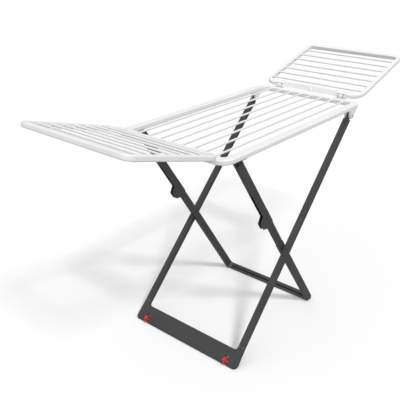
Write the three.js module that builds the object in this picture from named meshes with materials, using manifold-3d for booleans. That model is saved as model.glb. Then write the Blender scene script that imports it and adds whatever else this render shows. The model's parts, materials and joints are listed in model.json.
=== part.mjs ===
// Winged clothes drying rack: a white rod deck with two tilting wings on a dark crossed-leg
// frame that folds flat. Millimetres, +Z up. The origin is on the floor below the middle of
// the deck. +X runs along the deck, the rods of the deck are parallel to it, and -Y is the front.
import * as THREE from "three";
import { mergeVertices } from "three/addons/utils/BufferGeometryUtils.js";
import Module from "manifold-3d";

const wasm = await Module();
wasm.setup();

// ---------------------------------------------------------------- driving dimensions
const GAP = 0.3; // between neighbouring pieces that don't turn on each other
const RUNNING = 0.06; // radial clearance of a pin in the eye that turns on it

const deck = {
  halfLength: 503,
  halfWidth: 272.5,
  top: 924,
  depth: 20,
  sideRail: 34.5,
  endRail: 37,
  cornerRadius: 55,
  windowRadius: 20,
  rods: 8,
  rodPitch: 55.6,
  rodDrop: 6, // rod axis below the top face
};
const rod = { radius: 4, bore: 3.4, socketDepth: 8, sides: 12 };

const wing = {
  tilt: THREE.MathUtils.degToRad(16),
  axisX: 497,
  axisZ: 935.2,
  heel: 5, // hinge side edge, from the hinge axis
  reach: 454, // free edge, from the hinge axis
  halfWidth: 261.7,
  over: 9.5, // top face above the hinge axis
  under: 10.5, // bottom face below it
  sideRail: 18.5,
  hingeRail: 36,
  outerRail: 27,
  outerRadius: 35,
  hingeRadius: 58,
  windowRadius: 15,
  rods: 7,
  firstRod: 62.5,
  rodPitch: 52.6,
  rodDrop: 6,
};
const wingHinge = {
  y: 167,
  knuckle: 20, // length of the deck's knuckle
  slot: 5.5, // on each side of it
  eye: 5, // thickness of each of the wing's eyes
  knuckleRadius: 8,
  knuckleBack: 3, // rear of the knuckle's neck, behind the hinge axis
  eyeRadius: 6.5,
  pinRadius: 3,
  heel: [[1.8, -17], [7.5, -16], [11, -5], [4, -6.5], [3.3, -11.5]], // meets the deck's end face
  cover: { from: 4, to: 27, underside: 8.6, top: 10.9, halfLength: 24 }, // over the knuckle
  dimple: { at: 14, radius: 3, depth: 1.4 }, // in the cover
};

// The outer legs run from a pivot under the right end of the deck to the floor on the left.
const outerPivot = new THREE.Vector2(416, 879.4);
const outerFootX = -424.5;
const outerLeg = {
  centreY: 255.5, // at the pivot
  splay: 12.3, // outwards over the whole length
  width: 26.3,
  thickness: 18.9,
  wall: 3,
  tongueLow: 251.5,
  tongueHigh: 260.5,
  tongueLength: 21,
  eyeRadius: 11.5,
  seam: 1122, // where the leg meets the foot, from the pivot
};
const outerFoot = {
  edge: 1141, // top edge of the cross panel, from the pivot
  innerRadius: 12,
  cornerRadius: 32,
  shoulder: { drop: 30, out: 1.5, radius: 20 }, // where the panel widens below its top edge
  halfWidth: 286,
  wall: 3.2,
  hollowEnd: 1202, // floor side of the hollows in the back
  middleHollow: 60, // half its length
  wheelWall: 9, // beside each wheel slot
  toeRadius: 6.7, // of the edge that rests on the floor
};
const lug = { inner: 241, outer: 272, thickness: 10, radius: 15, neckLeft: 19, neckRight: 44 };

// The inner legs run from a pivot under the left end of the deck to the floor on the right.
const innerTop = new THREE.Vector2(-386.28, 886);
const innerFootX = 222.2;
const inner = {
  centreY: 235.6, // of the link and of the upper part of the leg
  footY: 241.1, // of the leg at the floor
  width: 15.8,
  over: 17, // upper right face from the centre line
  under: 17, // lower left face
  knee: 363.8, // from the upper pivot
  crossing: 597.2,
};
const link = {
  endRadius: 17,
  cheek: 2.5,
  knuckleStart: 321,
  knuckleEnd: 411,
  knuckleOver: 18,
  stop: 14, // inner face of the knuckle's web, which the straight leg rests on
  foldAngle: THREE.MathUtils.degToRad(10.3), // left between link and leg when folded
  tongueHigh: 238.2, // outer face of the narrow end in the bracket
  tongueLength: 12,
  lobe: [[329, -16, 0], [347, -46, 10], [384, -45, 12], [402, -25, 5], [404, -16, 0]],
};
const leg = {
  over: 17,
  tongueOver: 13.4, // between the cheeks of the knuckle
  tongueWidth: 10.2,
  fullDepthFrom: 418,
  fullWidthFrom: 557,
  recess: { from: 625, to: 1035, floor: 2, wall: 3 },
  root: 22, // from the knee to the full depth of the tongue
  toe: { at: 1060, n: -2, radius: 19 },
};
const bar = {
  thickness: 18,
  over: 16.5,
  under: 17,
  grooveLow: -5.5,
  grooveHigh: 1,
  grooveDepth: 12,
  bend: 14,
};
const bracket = { low: 238.5, high: 244.5, radius: 9, plate: 2.4, behind: 26, ahead: 11 };
const pin = { radius: 4, head: 6.5, smallHead: 5, headThickness: 2, sides: 24 };
const wheel = {
  y: 226,
  along: 1200.3, // axle from the outer pivot
  proud: 8, // axle above the middle of the panel
  radius: 16,
  width: 14.5,
  chamfer: 2,
  slot: 17.5,
  slotTop: 1178,
  axleRadius: 3,
  axleReach: 6, // into the panel on each side of the slot
};

// ---------------------------------------------------------------- materials
const plastic = (color, roughness) => () =>
  new THREE.MeshStandardMaterial({ color, roughness, metalness: 0 });
const white = plastic(0xf1f1ef, 0.45);
const dark = plastic(0x48494b, 0.55);
const red = plastic(0xc81e28, 0.4);
const coated = plastic(0xf4f4f2, 0.3);
const steel = () =>
  new THREE.MeshStandardMaterial({ color: 0xb9bbbe, roughness: 0.3, metalness: 1 });

// ---------------------------------------------------------------- solids
function solidOf(geometry) {
  const bare = geometry.clone();
  bare.deleteAttribute("normal");
  bare.deleteAttribute("uv");
  const merged = mergeVertices(bare, 1e-4);
  return new wasm.Manifold(
    new wasm.Mesh({
      numProp: 3,
      vertProperties: new Float32Array(merged.attributes.position.array),
      triVerts: new Uint32Array(merged.index.array),
    }),
  );
}

function meshOf(name, solid, material) {
  const { vertProperties, triVerts } = solid.getMesh();
  const geometry = new THREE.BufferGeometry();
  geometry.setAttribute("position", new THREE.BufferAttribute(vertProperties, 3));
  geometry.setIndex(new THREE.BufferAttribute(triVerts, 1));
  geometry.computeVertexNormals();
  const mesh = new THREE.Mesh(geometry, material());
  mesh.name = name;
  return mesh;
}

const joined = (solids) => solids.reduce((sum, one) => sum.add(one));
const without = (solid, cuts) => cuts.reduce((rest, cut) => rest.subtract(cut), solid);

// A box between two corners, [x, y, z] each.
function block(low, high) {
  const size = high.map((value, axis) => value - low[axis]);
  const geometry = new THREE.BoxGeometry(...size);
  geometry.translate(...low.map((value, axis) => value + size[axis] / 2));
  return solidOf(geometry);
}

// A right-handed local frame whose first two axes lie in the plane of X and Z.
class SideFrame {
  constructor(origin, along) {
    this.origin = origin;
    this.along = along.clone().normalize();
    this.across = new THREE.Vector2(-this.along.y, this.along.x);
  }
  point(u, n) {
    return this.origin
      .clone()
      .addScaledVector(this.along, u)
      .addScaledVector(this.across, n);
  }
  // An outline in (u, n), extruded from y = low to y = high.
  prism(shape, low, high) {
    const geometry = new THREE.ExtrudeGeometry(shape, {
      depth: high - low,
      bevelEnabled: false,
      curveSegments: 4,
    });
    const a = this.along;
    const c = this.across;
    geometry.applyMatrix4(
      new THREE.Matrix4().set(
        a.x, c.x, 0, this.origin.x,
        0, 0, -1, high,
        a.y, c.y, 0, this.origin.y,
        0, 0, 0, 1,
      ),
    );
    return solidOf(geometry);
  }
  // An outline in (u, y), extruded from n = low to n = high.
  panel(shape, low, high) {
    const geometry = new THREE.ExtrudeGeometry(shape, {
      depth: high - low,
      bevelEnabled: false,
      curveSegments: 5,
    });
    const a = this.along;
    const c = this.across;
    geometry.applyMatrix4(
      new THREE.Matrix4().set(
        a.x, 0, c.x, this.origin.x + c.x * low,
        0, 1, 0, 0,
        a.y, 0, c.y, this.origin.y + c.y * low,
        0, 0, 0, 1,
      ),
    );
    return solidOf(geometry);
  }
  bar(u0, u1, n0, n1, low, high) {
    return this.prism(rectangle(u0, u1, n0, n1), low, high);
  }
  disc(u, n, radius, low, high, sides = 24) {
    const centre = this.point(u, n);
    return crossRod(centre.x, centre.y, radius, low, high, sides);
  }
}

function polygon(points) {
  return new THREE.Shape(points.map(([u, n]) => new THREE.Vector2(u, n)));
}

const rectangle = (u0, u1, n0, n1) =>
  polygon([[u0, n0], [u1, n0], [u1, n1], [u0, n1]]);

// A closed outline with a radius at each corner: [[x, y, radius], ...], counter-clockwise.
function roundedOutline(corners, path = new THREE.Shape()) {
  const count = corners.length;
  corners.forEach(([x, y, radius], i) => {
    const here = new THREE.Vector2(x, y);
    const [px, py] = corners[(i + count - 1) % count];
    const [nx, ny] = corners[(i + 1) % count];
    const back = new THREE.Vector2(px, py).sub(here).normalize();
    const on = new THREE.Vector2(nx, ny).sub(here).normalize();
    const half = Math.acos(THREE.MathUtils.clamp(back.dot(on), -1, 1)) / 2;
    const run = radius / Math.tan(half);
    const from = here.clone().addScaledVector(back, run);
    const to = here.clone().addScaledVector(on, run);
    if (i === 0) path.moveTo(from.x, from.y);
    else path.lineTo(from.x, from.y);
    if (radius > 0) {
      const centre = here
        .clone()
        .addScaledVector(back.clone().add(on).normalize(), radius / Math.sin(half));
      const start = Math.atan2(from.y - centre.y, from.x - centre.x);
      const end = Math.atan2(to.y - centre.y, to.x - centre.x);
      const turnsLeft = back.x * on.y - back.y * on.x < 0;
      path.absarc(centre.x, centre.y, radius, start, end, !turnsLeft);
    }
  });
  path.closePath();
  return path;
}

// A cylinder along Y between two values of y.
function crossRod(x, z, radius, low, high, sides = pin.sides) {
  const geometry = new THREE.CylinderGeometry(radius, radius, high - low, sides);
  geometry.translate(x, (low + high) / 2, z);
  return solidOf(geometry);
}

// A cylinder along X between two values of x.
function longRod(y, z, radius, low, high, sides = rod.sides) {
  const geometry = new THREE.CylinderGeometry(radius, radius, high - low, sides);
  geometry.rotateZ(Math.PI / 2);
  geometry.translate((low + high) / 2, y, z);
  return solidOf(geometry);
}

const mirrored = (solid) => solid.mirror([0, 1, 0]);

// Slides every point outwards in Y in proportion to its distance along a leg.
function splayed(solid, frame, slope, from) {
  const a = frame.along;
  const start = frame.point(from, 0);
  const shift = new THREE.Matrix4().set(
    1, 0, 0, 0,
    a.x * slope, 1, a.y * slope, -(a.x * start.x + a.y * start.y) * slope,
    0, 0, 1, 0,
    0, 0, 0, 1,
  );
  return solid.transform(shift.elements);
}

const level = new SideFrame(new THREE.Vector2(0, 0), new THREE.Vector2(1, 0));
const outerFrame = new SideFrame(
  outerPivot,
  new THREE.Vector2(outerFootX, 0).sub(outerPivot),
);
const innerFrame = new SideFrame(innerTop, new THREE.Vector2(innerFootX, 0).sub(innerTop));
const outerLength = outerPivot.distanceTo(new THREE.Vector2(outerFootX, 0));
const innerLength = innerTop.distanceTo(new THREE.Vector2(innerFootX, 0));
const belowFloor = 25; // how far a leg or foot runs on before the floor cuts it
const aboveFloor = block([-1500, -500, 0], [1500, 500, 1500]);

const centred = (count, pitch) =>
  Array.from({ length: count }, (_, i) => (i - (count - 1) / 2) * pitch);

// ---------------------------------------------------------------- deck
const deckBottom = deck.top - deck.depth;
const deckRodZ = deck.top - deck.rodDrop;
const windowX = deck.halfLength - deck.endRail;
const windowY = deck.halfWidth - deck.sideRail;

function roundedRectangle(x0, x1, y0, y1, radius, path) {
  const corners = [[x0, y0, radius], [x1, y0, radius], [x1, y1, radius], [x0, y1, radius]];
  return roundedOutline(corners, path);
}

function deckRing() {
  const { halfLength: x, halfWidth: y } = deck;
  const shape = roundedRectangle(-x, x, -y, y, deck.cornerRadius);
  shape.holes.push(
    roundedRectangle(-windowX, windowX, -windowY, windowY, deck.windowRadius, new THREE.Path()),
  );
  const geometry = new THREE.ExtrudeGeometry(shape, {
    depth: deck.depth,
    bevelEnabled: false,
    curveSegments: 7,
  });
  geometry.translate(0, 0, deckBottom);
  return solidOf(geometry);
}

// One of the two plates that hold an outer leg's pivot pin, hanging from the side rail.
function pivotLug(low) {
  const high = low + lug.thickness;
  const { x, y: z } = outerPivot;
  const neck = polygon([
    [x - lug.neckLeft, deckBottom + 1],
    [x - lug.radius, z],
    [x + lug.radius, z],
    [x + lug.neckRight, deckBottom + 1],
  ]);
  const eye = crossRod(x, z, lug.radius, low, high, 20);
  const bore = crossRod(x, z, pin.radius + GAP, low - 1, high + 1, 12);
  return level.prism(neck, low, high).add(eye).subtract(bore);
}

// The raised block on the end rail that a wing's hinge pin passes through.
function wingKnuckle(side) {
  const low = wingHinge.y - wingHinge.knuckle / 2;
  const high = low + wingHinge.knuckle;
  const r = wingHinge.knuckleRadius;
  const foot = [
    [wing.axisX - wingHinge.knuckleBack, deck.top - 1],
    [deck.halfLength, deck.top - 1],
    [wing.axisX + r, wing.axisZ],
    [wing.axisX - wingHinge.knuckleBack, wing.axisZ],
  ].map(([x, z]) => [side * x, z]);
  if (side < 0) foot.reverse();
  const barrel = crossRod(side * wing.axisX, wing.axisZ, r, low, high, 16);
  const bore = crossRod(
    side * wing.axisX, wing.axisZ, wingHinge.pinRadius + GAP, low - 1, high + 1, 12,
  );
  return level.prism(polygon(foot), low, high).add(barrel).subtract(bore);
}

function deckFrame() {
  const halves = [pivotLug(lug.inner), pivotLug(lug.outer - lug.thickness)];
  halves.push(wingKnuckle(-1), wingKnuckle(1));
  const body = joined([deckRing(), ...halves, ...halves.map(mirrored)]);
  const reach = windowX + rod.socketDepth;
  const sockets = centred(deck.rods, deck.rodPitch).flatMap((y) =>
    [-1, 1].map((side) =>
      longRod(
        y,
        deckRodZ,
        rod.radius + GAP,
        Math.min(side * (windowX - 2), side * reach),
        Math.max(side * (windowX - 2), side * reach),
      ),
    ),
  );
  return meshOf("deck_frame", without(body, sockets), white);
}

function deckRods() {
  const reach = windowX + rod.socketDepth - GAP;
  return centred(deck.rods, deck.rodPitch).map((y, i) =>
    meshOf(
      "deck_rod_" + (i + 1),
      longRod(y, deckRodZ, rod.radius, -reach, reach).subtract(
        longRod(y, deckRodZ, rod.bore, -reach - 1, reach + 1),
      ),
      coated,
    ),
  );
}

// The dark plate under a side rail with the ear that an upper link hangs on.
function linkBracket() {
  const { x, y: z } = innerTop;
  const top = deckBottom - GAP;
  const plateHigh = deck.halfWidth - 4;
  const plate = block(
    [x - bracket.behind, bracket.low, top - bracket.plate],
    [x + bracket.ahead, plateHigh, top],
  );
  const neck = level.bar(x - bracket.radius, x + bracket.radius, z, top, bracket.low, bracket.high);
  const ear = crossRod(x, z, bracket.radius, bracket.low, bracket.high);
  const bore = crossRod(x, z, pin.radius + GAP, bracket.low - 1, bracket.high + 1);
  return joined([plate, neck, ear]).subtract(bore);
}

// A headed pivot pin along Y, with its head at the high end.
function headedPin(centre, low, high, head = pin.head) {
  const shank = crossRod(centre.x, centre.y, pin.radius, low, high);
  return shank.add(crossRod(centre.x, centre.y, head, high, high + pin.headThickness));
}

// ---------------------------------------------------------------- wings
const eyeInner = wingHinge.y - wingHinge.knuckle / 2 - wingHinge.slot - wingHinge.eye;
const eyeOuter = wingHinge.y + wingHinge.knuckle / 2 + wingHinge.slot;

// A wing lying level, with its hinge axis at the origin and its free edge towards +X.
function wingPlate() {
  const { heel, reach, halfWidth: y, sideRail } = wing;
  const shape = roundedOutline([
    [heel, -y, wing.hingeRadius],
    [reach, -y, wing.outerRadius],
    [reach, y, wing.outerRadius],
    [heel, y, wing.hingeRadius],
  ]);
  const r = wing.windowRadius;
  const x0 = wing.hingeRail;
  const x1 = reach - wing.outerRail;
  const w = y - sideRail;
  shape.holes.push(
    roundedOutline([[x0, -w, r], [x1, -w, r], [x1, w, r], [x0, w, r]], new THREE.Path()),
  );
  const geometry = new THREE.ExtrudeGeometry(shape, {
    depth: wing.over + wing.under,
    bevelEnabled: false,
    curveSegments: 6,
  });
  geometry.translate(0, 0, -wing.under);
  return solidOf(geometry);
}

function wingEye(low) {
  const high = low + wingHinge.eye;
  const r = wingHinge.eyeRadius;
  const arm = level.bar(0, wing.heel + 6, -wing.under, r, low, high);
  // The heel that meets the end face of the deck and holds the wing at its tilt.
  const heel = level.prism(polygon(wingHinge.heel), low, high);
  return joined([crossRod(0, 0, r, low, high, 16), arm, heel]);
}

// The raised cover over a knuckle, with a dimple in it.
function wingCover() {
  const { from, to, underside, top, halfLength } = wingHinge.cover;
  const { at, radius, depth } = wingHinge.dimple;
  const pad = level.bar(from, to, underside, top, wingHinge.y - halfLength, wingHinge.y + halfLength);
  const geometry = new THREE.CylinderGeometry(radius, radius, depth + 1, 12);
  geometry.rotateX(Math.PI / 2);
  geometry.translate(at, wingHinge.y, top + 1 - (depth + 1) / 2);
  return pad.subtract(solidOf(geometry));
}

function wingFrame() {
  const beyondHeel = wing.heel - 20;
  const bevel = level.prism(
    polygon([
      [beyondHeel, -wing.under - 1],
      [wing.heel, -wing.under - 1],
      [wing.heel + 15, wing.over + 0.5],
      [beyondHeel, wing.over + 0.5],
    ]),
    -eyeInner,
    eyeInner,
  );
  const notch = block(
    [beyondHeel, eyeInner + wingHinge.eye, -wing.under - 1],
    [wingHinge.knuckleRadius + 3.5, eyeOuter, wingHinge.cover.underside],
  );
  const clearance = block(
    [beyondHeel, eyeInner + wingHinge.eye, -wing.under - 1],
    [wingHinge.cover.from, eyeOuter, wing.over + 1],
  );
  const eyes = [wingEye(eyeInner), wingEye(eyeOuter)];
  const bore = crossRod(0, 0, wingHinge.pinRadius + RUNNING, eyeInner - 1, eyeOuter + 7);
  const inY = wing.halfWidth - wing.sideRail;
  const rodZ = wing.over - wing.rodDrop;
  const sockets = wingRodPlaces().map((x) =>
    crossRod(x, rodZ, rod.radius + GAP, inY - 2, inY + rod.socketDepth, rod.sides),
  );
  const cover = wingCover();
  let body = joined([wingPlate().subtract(bevel), cover, mirrored(cover)]);
  const hollows = [notch, clearance, ...sockets];
  body = without(body, [...hollows, ...hollows.map(mirrored)]);
  body = joined([body, ...eyes, ...eyes.map(mirrored)]);
  return without(body, [bore, mirrored(bore)]);
}

function wingRodPlaces() {
  return Array.from({ length: wing.rods }, (_, i) => wing.firstRod + i * wing.rodPitch);
}

function wingGroup(name, side) {
  const group = new THREE.Group();
  group.position.set(side * wing.axisX, 0, wing.axisZ);
  group.rotation.set(0, side > 0 ? -wing.tilt : wing.tilt, 0);
  const turned = (solid) => (side > 0 ? solid : solid.mirror([1, 0, 0]));
  group.add(meshOf(name + "_frame", turned(wingFrame()), white));
  const reach = wing.halfWidth - wing.sideRail + rod.socketDepth - GAP;
  wingRodPlaces().forEach((x, i) => {
    const z = wing.over - wing.rodDrop;
    const bore = crossRod(x, z, rod.bore, -reach - 1, reach + 1, rod.sides);
    const one = crossRod(x, z, rod.radius, -reach, reach, rod.sides).subtract(bore);
    group.add(meshOf(name + "_rod_" + (i + 1), turned(one), coated));
  });
  return group;
}

function wingPins(name, side) {
  const low = eyeInner + 0.5;
  const high = eyeOuter + wingHinge.eye - 0.5;
  const one = crossRod(side * wing.axisX, wing.axisZ, wingHinge.pinRadius, low, high);
  return [
    meshOf(name + "_hinge_pin_back", one, steel),
    meshOf(name + "_hinge_pin_front", mirrored(one), steel),
  ];
}

// ---------------------------------------------------------------- outer frame
const outerSlope = outerLeg.splay / outerLength;
const outerY = (u) => outerLeg.centreY + outerSlope * u;
// The outer frame's across direction points down and right, so its upper left face is at -half.
const half = outerLeg.thickness / 2;

function outerLegSolid() {
  const { width, wall, centreY: y, tongueLength, seam } = outerLeg;
  const low = y - width / 2;
  const high = y + width / 2;
  const bottom = seam - GAP;
  const body = outerFrame.bar(0, bottom, -half, half, low, high);
  const eye = outerFrame.disc(0, 0, outerLeg.eyeRadius, low, high, 20);
  const cavity = outerFrame.bar(
    tongueLength + width / 2, bottom + 1, -half + wall, half + 1, low + wall, high - wall,
  );
  const shoulder = (from, to) => outerFrame.bar(-width, tongueLength, -width, width, from, to);
  const cuts = [
    cavity,
    shoulder(low - 1, outerLeg.tongueLow),
    shoulder(outerLeg.tongueHigh, high + 1),
    outerFrame.disc(0, 0, pin.radius + RUNNING, low - 1, high + 1),
  ];
  const inside = outerY(outerCrossing) - width / 2;
  const seat = crossRod(
    crossingPoint.x, crossingPoint.y, pin.radius + GAP, inside - 2, inside + wall + 1,
  );
  return splayed(without(body.add(eye), cuts), outerFrame, outerSlope, 0).subtract(seat);
}

// What is cut away to round the acute edge between the panel's upper face and the floor.
function toeRounding() {
  const r = outerFoot.toeRadius;
  const { along, across } = outerFrame;
  const lean = Math.atan2(-along.y, -along.x);
  const upper = outerFrame.point(0, -half);
  const tipX = upper.x - (along.x / along.y) * upper.y;
  const centreX = tipX + r / Math.tan(lean / 2);
  const start = Math.atan2(-across.y, -across.x);
  const sweep = 1.5 * Math.PI - start;
  const steps = 7;
  const arc = Array.from({ length: steps + 1 }, (_, i) => {
    const angle = start + (sweep * i) / steps;
    return [centreX + r * Math.cos(angle), r + r * Math.sin(angle)];
  });
  const [top] = arc;
  const outside = [
    [centreX, -5],
    [tipX - 20, -5],
    [tipX - 20, top[1]],
  ];
  const reach = outerFoot.halfWidth + 1;
  return level.prism(polygon([...arc, ...outside].reverse()), -reach, reach);
}

// The cross panel at the floor with a short arm up to each leg.
function outerFootSolid() {
  const { seam, width } = outerLeg;
  const end = outerLength + belowFloor;
  const outer = outerY(seam) + width / 2;
  const inside = outerY(seam) - width / 2;
  const r = outerFoot.cornerRadius;
  const tip = outerLength + half;
  const w = outerFoot.halfWidth;
  const window = outerFoot.edge;
  const { drop, out, radius: shoulderRadius } = outerFoot.shoulder;
  const outline = roundedOutline([
    [seam, -outer, 0],
    [seam, -inside, 0],
    [window, -inside, outerFoot.innerRadius],
    [window, inside, outerFoot.innerRadius],
    [seam, inside, 0],
    [seam, outer, 0],
    [window + drop, outer + out, shoulderRadius],
    [tip, w, r],
    [tip, -w, r],
    [window + drop, -outer - out, shoulderRadius],
  ]);
  const body = outerFrame.panel(outline, -half, half);
  const wall = outerFoot.wall;
  const slotHalf = wheel.slot / 2;
  const pocket = (u0, u1, y0, y1) =>
    outerFrame.panel(rectangle(u0, u1, y0, y1), -half + wall, half + 1);
  const { hollowEnd, middleHollow: middle, wheelWall } = outerFoot;
  const hollows = [
    pocket(window + wall, hollowEnd, -middle, middle),
    pocket(window + wall, hollowEnd, middle + wall, wheel.y - slotHalf - wheelWall),
    pocket(window + wall, hollowEnd, wheel.y + slotHalf + wheelWall, outer - wall - 1),
    pocket(seam - 1, window, inside + wall, outer - wall),
  ];
  const slot = outerFrame.panel(
    rectangle(wheel.slotTop, end, wheel.y - slotHalf, wheel.y + slotHalf),
    -half - 1,
    half + 1,
  );
  const seat = wheel.axleRadius + GAP;
  const groove = outerFrame.bar(
    wheel.along - seat,
    wheel.along + seat,
    -half - 1,
    -wheel.proud + seat,
    wheel.y - slotHalf - wheel.axleReach,
    wheel.y + slotHalf + wheel.axleReach,
  );
  const cuts = [...hollows, slot, groove];
  return without(body, [toeRounding(), ...cuts, ...cuts.slice(1).map(mirrored)]).intersect(aboveFloor);
}

const wheelCentre = outerFrame.point(wheel.along, -wheel.proud);

function wheelSolid() {
  const { radius: r, chamfer: c } = wheel;
  const bore = wheel.axleRadius + RUNNING;
  const w = wheel.width / 2;
  const profile = [
    [bore, -w], [r - 6, -w], [r - 5, -w + 1], [r - c, -w + 1], [r, -w + 1 + c],
    [r, w - 1 - c], [r - c, w - 1], [r - 5, w - 1], [r - 6, w], [bore, w], [bore, -w],
  ].map(([x, y]) => new THREE.Vector2(x, y));
  const geometry = new THREE.LatheGeometry(profile, 24);
  geometry.translate(wheelCentre.x, wheel.y, wheelCentre.y);
  return solidOf(geometry);
}

function axleSolid() {
  const reach = wheel.slot / 2 + wheel.axleReach - GAP;
  return crossRod(wheelCentre.x, wheelCentre.y, wheel.axleRadius, wheel.y - reach, wheel.y + reach);
}

// The crossing pivot is the one pivot that is left open: its stub stops short of the inner leg.
const crossingPoint = innerFrame.point(inner.crossing, 0);
const outerCrossing = crossingPoint.distanceTo(outerPivot);
const crossingSlope = (inner.footY - inner.centreY) / (innerLength - leg.fullWidthFrom);
const innerFaceAtCrossing =
  inner.centreY + inner.width / 2 + crossingSlope * (inner.crossing - leg.fullWidthFrom + 17);

function crossingPin() {
  const inside = outerY(outerCrossing) - outerLeg.width / 2;
  const low = innerFaceAtCrossing + 0.5;
  const shank = crossRod(crossingPoint.x, crossingPoint.y, pin.radius, low, inside + 8);
  const seat = inside + outerLeg.wall + GAP + 0.2;
  const head = crossRod(
    crossingPoint.x, crossingPoint.y, pin.head - 0.6, seat, seat + pin.headThickness,
  );
  return shank.add(head);
}

// ---------------------------------------------------------------- inner frame
const linkLow = inner.centreY - inner.width / 2;
const linkHigh = inner.centreY + inner.width / 2;

// The inner frame's across direction points up and right.
function linkSolid() {
  const { over, under, knee } = inner;
  const end = innerFrame.disc(0, 0, link.endRadius, linkLow, linkHigh, 20);
  const body = innerFrame.bar(0, link.knuckleStart + 6, -under, over, linkLow, linkHigh);
  const knuckle = innerFrame.prism(
    roundedOutline([
      [link.knuckleStart - 8, -under, 0],
      [link.knuckleEnd, -under, 8],
      [link.knuckleEnd, link.knuckleOver, 8],
      [link.knuckleStart, link.knuckleOver, 14],
      [link.knuckleStart - 8, over - 1, 0],
    ]),
    linkLow,
    linkHigh,
  );
  const lobe = innerFrame.prism(roundedOutline(link.lobe), linkLow, linkHigh);
  const all = joined([end, body, knuckle, lobe]);
  const slope = Math.tan(link.foldAngle);
  const rise = over + GAP;
  const past = 60; // beyond every face of the lobe
  const slotEnd = link.knuckleEnd + 5;
  const slot = innerFrame.prism(
    polygon([
      [knee - (rise + under) / slope, -under],
      [knee - (rise + under + past) / slope, -under - past],
      [slotEnd, -under - past],
      [slotEnd, link.stop],
      [knee - (rise - link.stop) / slope, link.stop],
    ]),
    linkLow + link.cheek,
    linkHigh - link.cheek,
  );
  const shoulder = innerFrame.bar(
    -2 * over, link.tongueLength, -2 * over, 2 * over, link.tongueHigh, linkHigh + 1,
  );
  const bores = [
    innerFrame.disc(0, 0, pin.radius + RUNNING, linkLow - 1, linkHigh + 1),
    innerFrame.disc(knee, 0, pin.radius + GAP, linkLow - 1, linkHigh + 1),
  ];
  return without(all, [slot, shoulder, ...bores]);
}

function innerLegSolid() {
  const { knee, under, width } = inner;
  const { over, tongueOver, tongueWidth, fullWidthFrom: from, recess, toe } = leg;
  const tongueLow = inner.centreY - tongueWidth / 2;
  const tongueHigh = inner.centreY + tongueWidth / 2;
  const tongueEnd = from + 8;
  const tongue = innerFrame.bar(
    knee + leg.root, tongueEnd, -under, tongueOver, tongueLow, tongueHigh,
  );
  const back = innerFrame.bar(leg.fullDepthFrom, tongueEnd, 0, over, tongueLow, tongueHigh);
  const root = innerFrame.prism(
    polygon([
      [knee, -tongueOver],
      [knee + leg.root, -under],
      [knee + leg.root + 2, -under],
      [knee + leg.root + 2, tongueOver],
      [knee, tongueOver],
    ]),
    tongueLow,
    tongueHigh,
  );
  const eye = innerFrame.disc(knee, 0, tongueOver, tongueLow, tongueHigh, 20);
  const low = inner.centreY - width / 2;
  const high = inner.centreY + width / 2;
  const lowerSolid = innerFrame.prism(
    rectangle(from, innerLength + belowFloor, -under, over),
    low,
    high,
  );
  const channel = innerFrame.bar(
    recess.from, recess.to, recess.floor, over + 1, low + recess.wall, high - recess.wall,
  );
  const lower = splayed(lowerSolid.subtract(channel), innerFrame, crossingSlope, from);
  const bore = innerFrame.disc(knee, 0, pin.radius + RUNNING, low - 1, high + 1);
  const inside = low - 5;
  const outside = high + 15;
  const toeDisc = innerFrame.disc(toe.at, toe.n, toe.radius, inside, outside, 20);
  const beyondToe = innerFrame.bar(toe.at, innerLength + 2 * belowFloor, -60, 60, inside, outside);
  return joined([root, eye, tongue, back, lower.subtract(beyondToe), lower.intersect(toeDisc)])
    .subtract(bore)
    .intersect(aboveFloor);
}

// The cross bar at the floor between the inner legs, with a bend at each end.
function footBarSolid() {
  const top = innerLength - bar.thickness;
  const bottom = innerLength + belowFloor;
  const y = inner.footY - inner.width / 2 - GAP - 0.1;
  const r = bar.bend;
  const outline = roundedOutline([
    [top - r, -y, 0],
    [bottom, -y, 0],
    [bottom, y, 0],
    [top - r, y, 0],
    [top - r, y - 1.5, 0],
    [top, y - 1.5, r - 1],
    [top, -y + 1.5, r - 1],
    [top - r, -y + 1.5, 0],
  ].reverse());
  const body = innerFrame.panel(outline, -bar.under, bar.over);
  const groove = innerFrame.bar(
    top - 1, top + bar.grooveDepth, bar.grooveLow, bar.grooveHigh, -y + r + 2, y - r - 2,
  );
  return body.subtract(groove).intersect(aboveFloor);
}

// ---------------------------------------------------------------- assembly
function pair(name, solid, material) {
  return [
    meshOf(name + "_back", solid, material),
    meshOf(name + "_front", mirrored(solid), material),
  ];
}

const rack = new THREE.Group();
rack.name = "clothes_drying_rack";

const deckGroup = new THREE.Group();
deckGroup.add(deckFrame(), ...deckRods());
deckGroup.add(...pair("link_bracket", linkBracket(), dark));
const outerPivotPin = headedPin(outerPivot, lug.inner + 0.5, lug.outer + GAP, pin.smallHead);
deckGroup.add(...pair("outer_pivot_pin", outerPivotPin, steel));
deckGroup.add(...pair("upper_pivot_pin", headedPin(innerTop, linkLow + 1, bracket.high + GAP), dark));
deckGroup.add(...wingPins("left", -1), ...wingPins("right", 1));

const outerGroup = new THREE.Group();
outerGroup.add(...pair("outer_leg", outerLegSolid(), dark));
outerGroup.add(meshOf("outer_foot", outerFootSolid(), dark));
outerGroup.add(...pair("wheel", wheelSolid(), red));
outerGroup.add(...pair("wheel_axle", axleSolid(), steel));
outerGroup.add(...pair("crossing_pin", crossingPin(), dark));

const kneePoint = innerFrame.point(inner.knee, 0);
const innerGroup = new THREE.Group();
innerGroup.add(...pair("upper_link", linkSolid(), dark));
innerGroup.add(...pair("knee_pin", headedPin(kneePoint, linkLow + 0.5, linkHigh + GAP), dark));
innerGroup.add(...pair("inner_leg", innerLegSolid(), dark));
innerGroup.add(meshOf("inner_foot_bar", footBarSolid(), dark));

rack.add(deckGroup, outerGroup, innerGroup);
rack.add(wingGroup("left_wing", -1), wingGroup("right_wing", 1));

export default rack;
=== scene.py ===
"""Looks of a winged clothes drying rack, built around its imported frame. Metres, +Z up."""
import json
import math

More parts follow.
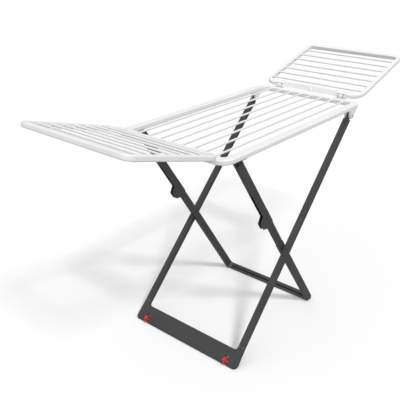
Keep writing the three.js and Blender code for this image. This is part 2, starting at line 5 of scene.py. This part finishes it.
import bpy
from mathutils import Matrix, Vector


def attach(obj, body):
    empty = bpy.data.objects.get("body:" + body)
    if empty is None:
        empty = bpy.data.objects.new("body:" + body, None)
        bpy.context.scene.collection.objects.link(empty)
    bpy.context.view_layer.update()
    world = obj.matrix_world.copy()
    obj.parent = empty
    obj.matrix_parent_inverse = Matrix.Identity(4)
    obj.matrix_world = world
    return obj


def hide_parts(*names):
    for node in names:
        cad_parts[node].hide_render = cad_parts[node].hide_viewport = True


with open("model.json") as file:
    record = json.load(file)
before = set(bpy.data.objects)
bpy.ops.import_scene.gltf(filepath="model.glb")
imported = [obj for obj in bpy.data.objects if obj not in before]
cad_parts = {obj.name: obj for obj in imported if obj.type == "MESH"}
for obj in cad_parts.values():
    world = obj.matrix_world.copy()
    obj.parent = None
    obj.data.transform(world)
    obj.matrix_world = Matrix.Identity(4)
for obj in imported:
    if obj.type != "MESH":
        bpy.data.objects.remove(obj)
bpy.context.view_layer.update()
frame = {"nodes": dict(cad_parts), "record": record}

NODES = frame["nodes"]
SLOT_OF = {part["node"]: part["material_slot"] for part in frame["record"]["subparts"]}

# ------------------------------------------------------------------ camera and studio
CAMERA_PLACE = Vector((-1.9871, -1.4135, 1.6421))
CAMERA_AIM = Vector((0.1059, 0.3520, 0.3917))
CAMERA_REACH = 100.0
LENS_MM = 53.74
SENSOR_MM = 36.0
KEY_SUN = {"travel": Vector((0.22, 0.72, -1.0)), "strength": 1.5, "degrees": 9.0}
OVERHEAD_SUN = {"travel": Vector((0.25, 0.05, -1.0)), "strength": 0.8, "degrees": 75.0}
BRIGHT_SIDE = (-1.0, 0.0, 0.0)  # the way to look for the brighter side of the surroundings
WORLD_STRENGTH = {"dim": 0.39, "bright": 0.59}
FLOOR = {"half": 30.0, "drop": 0.0005, "tone": 0.92, "roughness": 0.9, "specular": 0.1}


def add_object(name, data):
    made = bpy.data.objects.new(name, data)
    bpy.context.scene.collection.objects.link(made)
    return made


def aim(thing, direction):
    thing.rotation_euler = direction.to_track_quat("-Z", "Y").to_euler()


def add_camera():
    data = bpy.data.cameras.new("camera")
    data.lens = LENS_MM
    data.sensor_width = SENSOR_MM
    data.clip_end = CAMERA_REACH
    camera = add_object("camera", data)
    camera.location = CAMERA_PLACE
    aim(camera, CAMERA_AIM - CAMERA_PLACE)
    bpy.context.scene.camera = camera


def add_sun(name, travel, strength, degrees):
    data = bpy.data.lights.new(name, "SUN")
    data.energy = strength
    data.angle = math.radians(degrees)
    lamp = add_object(name, data)
    aim(lamp, travel)


def add_world():
    """White surroundings, a little brighter on one side."""
    world = bpy.data.worlds.new("studio")
    world.use_nodes = True
    nodes = world.node_tree.nodes
    background = nodes["Background"]
    background.inputs["Color"].default_value = (1.0, 1.0, 1.0, 1.0)
    sky = nodes.new("ShaderNodeTexCoord")
    split = nodes.new("ShaderNodeVectorMath")
    split.operation = "DOT_PRODUCT"
    split.inputs[1].default_value = BRIGHT_SIDE
    fade = nodes.new("ShaderNodeMapRange")
    fade.inputs["From Min"].default_value = -1.0
    fade.inputs["From Max"].default_value = 1.0
    fade.inputs["To Min"].default_value = WORLD_STRENGTH["dim"]
    fade.inputs["To Max"].default_value = WORLD_STRENGTH["bright"]
    links = world.node_tree.links
    links.new(sky.outputs["Generated"], split.inputs[0])
    links.new(split.outputs["Value"], fade.inputs["Value"])
    links.new(fade.outputs["Result"], background.inputs["Strength"])
    bpy.context.scene.world = world
    bpy.context.scene.view_settings.view_transform = "Standard"


def add_floor():
    """A plain pale floor that shows shadows but throws no light back."""
    half = FLOOR["half"]
    mesh = bpy.data.meshes.new("floor")
    corners = [(-half, -half, 0.0), (half, -half, 0.0), (half, half, 0.0), (-half, half, 0.0)]
    mesh.from_pydata(corners, [], [(0, 1, 2, 3)])
    floor = add_object("floor", mesh)
    floor.location.z = -FLOOR["drop"]
    material = bpy.data.materials.new("floor_paper")
    material.use_nodes = True
    shader = material.node_tree.nodes["Principled BSDF"]
    shader.inputs["Base Color"].default_value = (*[FLOOR["tone"]] * 3, 1.0)
    shader.inputs["Roughness"].default_value = FLOOR["roughness"]
    shader.inputs["Specular IOR Level"].default_value = FLOOR["specular"]
    mesh.materials.append(material)
    floor.visible_diffuse = False
    floor.visible_glossy = False


add_camera()
add_world()
add_sun("key", **KEY_SUN)
add_sun("overhead", **OVERHEAD_SUN)
add_floor()


# ------------------------------------------------------------------ materials
NOISE_RANGE = (0.3, 0.7)  # where a noise's values fade from one tone or roughness to the other
EDGE_TURN = (0.995, 0.85)  # cosines of the turn at which the lighter edge tone (painted highlight together with wear) starts and is full
WEAR_AND_HIGHLIGHT_SAMPLES = 4
RELIEF_STRENGTH = 0.6


class Surface:
    """A Principled material whose colour, roughness and relief come from noise in object space."""

    def __init__(self, name):
        self.material = bpy.data.materials.new(name)
        self.material.use_nodes = True
        self.nodes = self.material.node_tree.nodes
        self.links = self.material.node_tree.links
        self.shader = self.nodes["Principled BSDF"]
        self.place = self.nodes.new("ShaderNodeTexCoord").outputs["Object"]

    def put(self, socket, value):
        self.shader.inputs[socket].default_value = value

    def link(self, source, target):
        self.links.new(source, target)

    def noise(self, scale, detail=2.0, stretch=(1.0, 1.0, 1.0)):
        mapping = self.nodes.new("ShaderNodeMapping")
        mapping.inputs["Scale"].default_value = stretch
        self.link(self.place, mapping.inputs["Vector"])
        noise = self.nodes.new("ShaderNodeTexNoise")
        noise.inputs["Scale"].default_value = scale
        noise.inputs["Detail"].default_value = detail
        self.link(mapping.outputs["Vector"], noise.inputs["Vector"])
        return noise.outputs["Fac"]

    def grains(self, scale):
        cells = self.nodes.new("ShaderNodeTexVoronoi")
        cells.inputs["Scale"].default_value = scale
        self.link(self.place, cells.inputs["Vector"])
        return cells.outputs["Distance"]

    def ramp(self, source, low_tone, high_tone):
        ramp = self.nodes.new("ShaderNodeValToRGB")
        points = ramp.color_ramp.elements
        for point, place, tone in zip(points, NOISE_RANGE, (low_tone, high_tone)):
            point.position = place
            point.color = (*tone, 1.0)
        self.link(source, ramp.inputs["Fac"])
        return ramp.outputs["Color"]

    def spread(self, source, low, high):
        spread = self.nodes.new("ShaderNodeMapRange")
        spread.inputs["From Min"].default_value = NOISE_RANGE[0]
        spread.inputs["From Max"].default_value = NOISE_RANGE[1]
        spread.inputs["To Min"].default_value = low
        spread.inputs["To Max"].default_value = high
        self.link(source, spread.inputs["Value"])
        return spread.outputs["Result"]

    def worn_and_highlit_edges(self, color, tone, radius, strength):
        """Mixes a tone in where the surface turns within a short radius; the callers use it as a
        painted edge highlight together with edge wear.
        """
        rounded = self.nodes.new("ShaderNodeBevel")
        rounded.samples = WEAR_AND_HIGHLIGHT_SAMPLES
        rounded.inputs["Radius"].default_value = radius
        plain = self.nodes.new("ShaderNodeNewGeometry")
        turn = self.nodes.new("ShaderNodeVectorMath")
        turn.operation = "DOT_PRODUCT"
        self.link(rounded.outputs["Normal"], turn.inputs[0])
        self.link(plain.outputs["Normal"], turn.inputs[1])
        mask = self.nodes.new("ShaderNodeMapRange")
        mask.inputs["From Min"].default_value = EDGE_TURN[0]
        mask.inputs["From Max"].default_value = EDGE_TURN[1]
        mask.inputs["To Max"].default_value = strength
        self.link(turn.outputs["Value"], mask.inputs["Value"])
        mix = self.nodes.new("ShaderNodeMix")
        mix.data_type = "RGBA"
        self.link(mask.outputs["Result"], mix.inputs["Factor"])
        self.link(color, mix.inputs["A"])
        mix.inputs["B"].default_value = (*tone, 1.0)
        return mix.outputs["Result"]

    def color(self, source):
        self.link(source, self.shader.inputs["Base Color"])

    def roughness(self, source):
        self.link(source, self.shader.inputs["Roughness"])

    def relief(self, *layers):
        """Stacks bumps of (height source, depth in metres)."""
        normal = None
        for source, depth in layers:
            bump = self.nodes.new("ShaderNodeBump")
            bump.inputs["Strength"].default_value = RELIEF_STRENGTH
            bump.inputs["Distance"].default_value = depth
            self.link(source, bump.inputs["Height"])
            if normal is not None:
                self.link(normal, bump.inputs["Normal"])
            normal = bump.outputs["Normal"]
        self.link(normal, self.shader.inputs["Normal"])


def grey(value, tint=0.0):
    return (value, value, value + tint)


def white_plastic():
    s = Surface("white_plastic")
    tone = s.ramp(s.noise(7.0, 4.0), grey(0.84, -0.010), grey(0.88, -0.006))
    # edges a little lighter: painted highlight together with wear
    s.color(s.worn_and_highlit_edges(tone, grey(0.92, -0.01), 0.0012, 0.5))
    s.roughness(s.spread(s.noise(60.0, 3.0), 0.36, 0.50))
    s.relief((s.noise(25.0), 0.00015), (s.grains(1600.0), 0.00003))
    return s.material


def coated_rod():
    s = Surface("coated_rod")
    s.color(s.ramp(s.noise(18.0, 3.0), grey(0.83, -0.01), grey(0.88)))
    s.roughness(s.spread(s.noise(90.0, 3.0), 0.22, 0.36))
    s.relief((s.noise(420.0, 1.0), 0.00008))
    s.put("Coat Weight", 0.3)
    s.put("Coat Roughness", 0.15)
    return s.material


def dark_plastic():
    s = Surface("dark_plastic")
    tone = s.ramp(s.noise(9.0, 5.0), (0.036, 0.037, 0.039), (0.050, 0.051, 0.053))
    # edges lighter grey: painted sheen highlight together with wear
    s.color(s.worn_and_highlit_edges(tone, (0.10, 0.10, 0.105), 0.0008, 0.35))
    s.roughness(s.spread(s.noise(45.0, 4.0), 0.44, 0.60))
    s.relief((s.noise(30.0), 0.0005), (s.grains(1100.0), 0.00009))
    return s.material


def red_plastic():
    s = Surface("red_plastic")
    s.color(s.ramp(s.noise(70.0, 3.0), (0.55, 0.012, 0.018), (0.68, 0.018, 0.025)))
    s.roughness(s.spread(s.noise(200.0, 2.0), 0.28, 0.42))
    s.relief((s.noise(900.0, 1.0), 0.00005))
    return s.material


def steel():
    s = Surface("steel")
    s.color(s.ramp(s.noise(160.0, 4.0), grey(0.50, 0.01), grey(0.66, 0.01)))
    s.put("Metallic", 1.0)
    s.roughness(s.spread(s.noise(500.0, 3.0, (1.0, 0.15, 1.0)), 0.22, 0.42))
    s.relief((s.noise(1400.0, 2.0, (1.0, 0.1, 1.0)), 0.00004))
    return s.material


MATERIALS = {
    "white_plastic": white_plastic(),
    "coated_rod": coated_rod(),
    "dark_plastic": dark_plastic(),
    "red_plastic": red_plastic(),
    "steel": steel(),
}


# ------------------------------------------------------------------ carried-over nodes
EDGE_SEGMENTS = 3
SHARP_DEGREES = 35.0
FLAT_DEGREES = 1.0
EDGE_WIDTH = {
    "white_plastic": 0.0030,
    "dark_plastic": 0.0010,
    "red_plastic": 0.0006,
    "steel": 0.0004,
}


def smooth(mesh):
    mesh.polygons.foreach_set("use_smooth", [True] * len(mesh.polygons))


def round_edges(thing, width):
    edges = thing.modifiers.new("round_edges", "BEVEL")
    edges.width = width
    edges.segments = EDGE_SEGMENTS
    edges.limit_method = "ANGLE"
    edges.angle_limit = math.radians(SHARP_DEGREES)
    edges.harden_normals = True


def even_shading(thing):
    shade = thing.modifiers.new("even_shading", "WEIGHTED_NORMAL")
    shade.keep_sharp = True


def finish_node(name):
    """Gives a node its material, rounded edges and smooth curved faces."""
    node = NODES[name]
    slot = SLOT_OF[name]
    node.data.materials.clear()
    node.data.materials.append(MATERIALS[slot])
    smooth(node.data)
    flat = node.modifiers.new("flat_faces", "DECIMATE")
    flat.decimate_type = "DISSOLVE"
    flat.angle_limit = math.radians(FLAT_DEGREES)
    if slot in EDGE_WIDTH:
        round_edges(node, EDGE_WIDTH[slot])
    even_shading(node)


# ------------------------------------------------------------------ moulded frames
MM = 0.001
CORNER_STEPS = 14
ROUND_STEPS = 5
CIRCLE_STEPS = 24
KNUCKLE_STEPS = 30
LUG_STEPS = 20
BOWL_RINGS = 6
DECK = {
    "half_length": 503 * MM,
    "half_width": 272.5 * MM,
    "low": 904 * MM,
    "high": 924 * MM,
    "side_rail": 34.5 * MM,
    "end_rail": 37 * MM,
    "corner": 55 * MM,
    "window_corner": 20 * MM,
}
WING = {
    "tilt": math.radians(16.0),
    "axis_x": 497 * MM,
    "axis_z": 935.2 * MM,
    "heel": 5 * MM,
    "reach": 454 * MM,
    "half_width": 261.7 * MM,
    "low": -10.5 * MM,
    "high": 9.5 * MM,
    "side_rail": 18.5 * MM,
    "hinge_rail": 36 * MM,
    "outer_rail": 27 * MM,
    "outer_corner": 35 * MM,
    "hinge_corner": 58 * MM,
    "window_corner": 15 * MM,
}
OUTER_EDGE = 5.0 * MM
INNER_EDGE = 3.0 * MM
MOULDED_EDGE = 0.8 * MM
SINK = 1 * MM  # how far a joined plate reaches into the ring, or a cut past its face
HINGE = {
    "y": 167 * MM,
    "knuckle": 20 * MM,
    "slot": 5.5 * MM,
    "eye": 5 * MM,
    "knuckle_radius": 8 * MM,
    "knuckle_back": 3 * MM,
    "knuckle_front": 6 * MM,
    "knuckle_arc": (-20.0, 248.0),
    "eye_radius": 6.5 * MM,
}
COVER = {"from": 4 * MM, "to": 27 * MM, "low": 8.4 * MM, "top": 10.9 * MM, "half": 24 * MM}
DIMPLE = {"x": 14 * MM, "radius": 3.4 * MM, "depth": 1.8 * MM}
NOTCH = {"beyond_knuckle": 3.5 * MM, "top": 8.6 * MM}
BEVEL = {"behind": 20 * MM, "run": 15 * MM, "above": 0.5 * MM}
EYE_ARM = {"from": -0.5 * MM, "into_ring": 6 * MM}
ROOM_ABOVE = 3 * MM
STOP_HEEL = [(1.8, -17), (7.5, -16), (11, -5), (4, -5.5), (3.3, -11.5)]  # millimetres
MIDDLE_GAP = 0.0005 * MM  # between a mirrored pair of cuts and the middle of the wing
KNUCKLE_LOW = HINGE["y"] - HINGE["knuckle"] / 2
KNUCKLE_HIGH = HINGE["y"] + HINGE["knuckle"] / 2
SLOT_LOW = KNUCKLE_LOW - HINGE["slot"]
SLOT_HIGH = KNUCKLE_HIGH + HINGE["slot"]
LUG = {"x": 416 * MM, "z": 879.4 * MM, "radius": 15 * MM, "left": 19 * MM, "right": 44 * MM}
LUG_PLATES = ((241 * MM, 251 * MM), (262 * MM, 272 * MM))


def rounded_loop(x0, x1, y0, y1, near_corner, far_corner):
    """A counter-clockwise outline as (x, y, outward x, outward y); near is the x0 end."""
    corners = [
        (x1, y0, far_corner, -90.0),
        (x1, y1, far_corner, 0.0),
        (x0, y1, near_corner, 90.0),
        (x0, y0, near_corner, 180.0),
    ]
    loop = []
    for x, y, radius, start in corners:
        cx = x - math.copysign(radius, x - (x0 + x1) / 2)
        cy = y - math.copysign(radius, y - (y0 + y1) / 2)
        for step in range(CORNER_STEPS + 1):
            angle = math.radians(start + 90.0 * step / CORNER_STEPS)
            c, s = math.cos(angle), math.sin(angle)
            loop.append((cx + radius * c, cy + radius * s, c, s))
    return loop


def edge_profile(low, high, radius):
    """(inset, z) up one rounded side wall, from its bottom face to its top face."""
    profile = []
    for step in range(ROUND_STEPS + 1):
        angle = math.pi / 2 * step / ROUND_STEPS
        profile.append((radius * (1 - math.sin(angle)), low + radius * (1 - math.cos(angle))))
    for step in range(ROUND_STEPS + 1):
        angle = math.pi / 2 * step / ROUND_STEPS
        profile.append((radius * (1 - math.cos(angle)), high - radius * (1 - math.sin(angle))))
    return profile


def ring_mesh(name, outer, window, low, high):
    """A flat moulded ring between two outlines, with every long edge rounded."""
    rows = [
        [(x - nx * inset, y - ny * inset, z) for x, y, nx, ny in outer]
        for inset, z in edge_profile(low, high, OUTER_EDGE)
    ]
    rows += [
        [(x + nx * inset, y + ny * inset, z) for x, y, nx, ny in window]
        for inset, z in reversed(edge_profile(low, high, INNER_EDGE))
    ]
    count = len(outer)
    points = [point for row in rows for point in row]
    faces = []
    for r in range(len(rows)):
        after = (r + 1) % len(rows)
        for i in range(count):
            j = (i + 1) % count
            faces.append((r * count + i, r * count + j, after * count + j, after * count + i))
    mesh = bpy.data.meshes.new(name)
    mesh.from_pydata(points, [], faces)
    smooth(mesh)
    return mesh


def deck_ring():
    x, y = DECK["half_length"], DECK["half_width"]
    wx, wy = x - DECK["end_rail"], y - DECK["side_rail"]
    outer = rounded_loop(-x, x, -y, y, DECK["corner"], DECK["corner"])
    window = rounded_loop(-wx, wx, -wy, wy, DECK["window_corner"], DECK["window_corner"])
    ring = ring_mesh("deck_moulding", outer, window, DECK["low"], DECK["high"])
    return add_object("deck_moulding", ring)


def wing_ring(name):
    x0, x1, y = WING["heel"], WING["reach"], WING["half_width"]
    wx0, wx1 = WING["hinge_rail"], x1 - WING["outer_rail"]
    wy = y - WING["side_rail"]
    outer = rounded_loop(x0, x1, -y, y, WING["hinge_corner"], WING["outer_corner"])
    window = rounded_loop(wx0, wx1, -wy, wy, WING["window_corner"], WING["window_corner"])
    return add_object(name, ring_mesh(name, outer, window, WING["low"], WING["high"]))


def plate_mesh(outline, low, high):
    """An (x, z) outline given counter-clockwise as seen from the front, extruded along y."""
    count = len(outline)
    points = [(x, low, z) for x, z in outline] + [(x, high, z) for x, z in outline]
    faces = [tuple(range(count)), tuple(range(2 * count - 1, count - 1, -1))]
    for i in range(count):
        j = (i + 1) % count
        faces.append((j, i, count + i, count + j))
    mesh = bpy.data.meshes.new("tool")
    mesh.from_pydata(points, [], faces)
    return mesh


def arc(x, z, radius, start, end, steps):
    """Points along a circle, counter-clockwise between two angles in degrees."""
    turn = [math.radians(start + (end - start) * i / steps) for i in range(steps + 1)]
    return [(x + radius * math.cos(a), z + radius * math.sin(a)) for a in turn]


def rectangle(x0, x1, z0, z1):
    return [(x0, z0), (x1, z0), (x1, z1), (x0, z1)]


def flipped(outline):
    """The outline mirrored in x, still counter-clockwise."""
    return [(-x, z) for x, z in reversed(outline)]


def apply_tool(base, mesh, operation):
    """Joins or cuts base with one mesh, and keeps the result as base's own mesh."""
    tool = add_object("tool", mesh)
    step = base.modifiers.new("step", "BOOLEAN")
    step.operation = operation
    step.solver = "EXACT"
    step.object = tool
    bpy.context.view_layer.update()
    shape = base.evaluated_get(bpy.context.evaluated_depsgraph_get())
    made = bpy.data.meshes.new_from_object(shape)
    base.modifiers.clear()
    base.data = made
    bpy.data.objects.remove(tool)


def combine(base, parts, operation):
    """Joins or cuts base with plates of (outline, low y, high y), on both sides of the rack."""
    for outline, low, high in parts:
        for span in ((low, high), (-high, -low)):
            apply_tool(base, plate_mesh(outline, *span), operation)
    smooth(base.data)


def bowl_mesh(y):
    """A round-bottomed tool that presses a dimple into the top of a wing's cover."""
    x, radius, depth = DIMPLE["x"], DIMPLE["radius"], DIMPLE["depth"]
    z = COVER["top"]
    turns, rings = CIRCLE_STEPS, BOWL_RINGS
    ball = (radius ** 2 + depth ** 2) / (2 * depth)
    widest = math.asin(radius / ball)
    points = [(x, y, z - depth)]
    for ring in range(1, rings + 1):
        angle = widest * ring / rings
        for turn in range(turns):
            around = 2 * math.pi * turn / turns
            reach = ball * math.sin(angle)
            height = z - depth + ball * (1 - math.cos(angle))
            points.append((x + reach * math.cos(around), y + reach * math.sin(around), height))
    points += [(px, py, z + depth) for px, py, _ in points[-turns:]]
    faces = [(0, 1 + (turn + 1) % turns, 1 + turn) for turn in range(turns)]
    for ring in range(rings):
        first, above = 1 + ring * turns, 1 + (ring + 1) * turns
        for turn in range(turns):
            after = (turn + 1) % turns
            faces.append((first + turn, first + after, above + after, above + turn))
    faces.append(tuple(range(len(points) - turns, len(points))))
    mesh = bpy.data.meshes.new("tool")
    mesh.from_pydata(points, [], faces)
    return mesh


def knuckle_outline():
    """The neck and barrel that a wing's hinge pin passes through, on the right end rail."""
    x, z, radius = WING["axis_x"], WING["axis_z"], HINGE["knuckle_radius"]
    base = DECK["high"] - SINK
    foot = [(x - HINGE["knuckle_back"], base), (x + HINGE["knuckle_front"], base)]
    return foot + arc(x, z, radius, *HINGE["knuckle_arc"], KNUCKLE_STEPS)


def lug_outline():
    """A plate that hangs under the side rail and holds an outer leg's pivot."""
    x, z, radius = LUG["x"], LUG["z"], LUG["radius"]
    base = DECK["low"] + SINK
    below = arc(x, z, radius, 180.0, 360.0, LUG_STEPS)
    return below + [(x + LUG["right"], base), (x - LUG["left"], base)]


def deck_moulding():
    moulding = deck_ring()
    knuckles = (knuckle_outline(), flipped(knuckle_outline()))
    parts = [(outline, KNUCKLE_LOW, KNUCKLE_HIGH) for outline in knuckles]
    parts += [(lug_outline(), low, high) for low, high in LUG_PLATES]
    combine(moulding, parts, "UNION")
    return moulding


def shape_hinge_side(moulding):
    """Bevels a level wing's hinge side and adds its covers, slots, eyes and stop heels."""
    heel, low, high = WING["heel"], WING["low"], WING["high"]
    behind, under = heel - BEVEL["behind"], low - SINK
    top = high + BEVEL["above"]
    bevel = [(behind, under), (heel, under), (heel + BEVEL["run"], top), (behind, top)]
    combine(moulding, [(bevel, MIDDLE_GAP, SLOT_LOW - HINGE["eye"])], "DIFFERENCE")

    cover = rectangle(COVER["from"], COVER["to"], COVER["low"], COVER["top"])
    span = (HINGE["y"] - COVER["half"], HINGE["y"] + COVER["half"])
    combine(moulding, [(cover, *span)], "UNION")

    notch_end = HINGE["knuckle_radius"] + NOTCH["beyond_knuckle"]
    notch = rectangle(behind, notch_end, under, NOTCH["top"])
    room = rectangle(behind, COVER["from"], under, high + ROOM_ABOVE)
    combine(moulding, [(cut, SLOT_LOW, SLOT_HIGH) for cut in (notch, room)], "DIFFERENCE")

    last_turn = 360.0 - 360.0 / CIRCLE_STEPS
    eye = arc(0, 0, HINGE["eye_radius"], 0.0, last_turn, CIRCLE_STEPS - 1)
    arm = rectangle(EYE_ARM["from"], heel + EYE_ARM["into_ring"], low, HINGE["eye_radius"])
    stop = [(x * MM, z * MM) for x, z in STOP_HEEL]
    for inner in (SLOT_LOW - HINGE["eye"], SLOT_HIGH):
        outer = inner + HINGE["eye"]
        combine(moulding, [(plate, inner, outer) for plate in (eye, arm, stop)], "UNION")

    for y in (-HINGE["y"], HINGE["y"]):
        apply_tool(moulding, bowl_mesh(y), "DIFFERENCE")
    smooth(moulding.data)


def wing_moulding(name, side):
    """A wing's frame, built level about its hinge axis and then tilted into place."""
    moulding = wing_ring(name)
    shape_hinge_side(moulding)
    c, s = math.cos(WING["tilt"]), math.sin(WING["tilt"])
    for vertex in moulding.data.vertices:
        u, y, v = vertex.co
        vertex.co = (side * (WING["axis_x"] + u * c - v * s), y, WING["axis_z"] + u * s + v * c)
    if side < 0:
        moulding.data.flip_normals()
    return moulding


def add_piece(piece, body, slot, *nodes):
    """Finishes a piece and hangs it on its body in place of the CAD nodes it stands for."""
    piece.data.materials.clear()
    piece.data.materials.append(MATERIALS[slot])
    round_edges(piece, MOULDED_EDGE)
    even_shading(piece)
    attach(piece, body)
    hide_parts(*nodes)


for node_name in NODES:
    finish_node(node_name)

add_piece(deck_moulding(), "deck", "white_plastic", "deck_frame")
add_piece(wing_moulding("left_wing_moulding", -1), "left_wing", "white_plastic", "left_wing_frame")
add_piece(wing_moulding("right_wing_moulding", 1), "right_wing", "white_plastic", "right_wing_frame")
